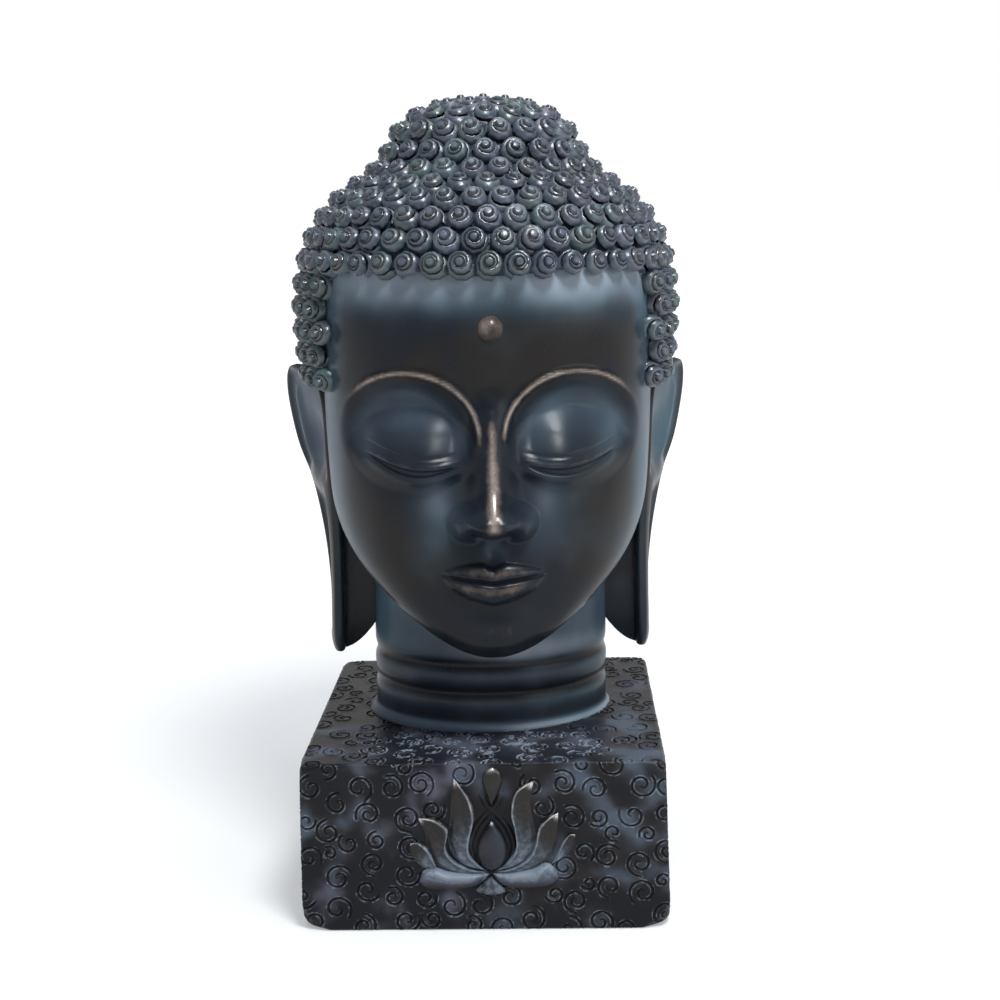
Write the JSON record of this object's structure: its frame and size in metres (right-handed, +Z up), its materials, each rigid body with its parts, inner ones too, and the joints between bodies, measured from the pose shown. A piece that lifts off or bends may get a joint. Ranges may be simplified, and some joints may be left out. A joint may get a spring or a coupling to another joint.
{
  "type": "buddha head statue",
  "caption": "Cast Buddha head with snail-curl hair and long ear lobes, fixed on a square plinth with a lotus relief, to stand on a shelf, table or garden step.",
  "frame": {"origin": "middle of the plinth's underside, on the surface that the statue stands on", "axes": "+Z up through the crown, -Y the way the face looks, +X to the right seen from the front"},
  "size_m": [0.2232, 0.2362, 0.4216],
  "materials": {
    "patina": "satin"
  },
  "bodies": {
    "root": {"statue": "patina"}
  },
  "joints": []
}
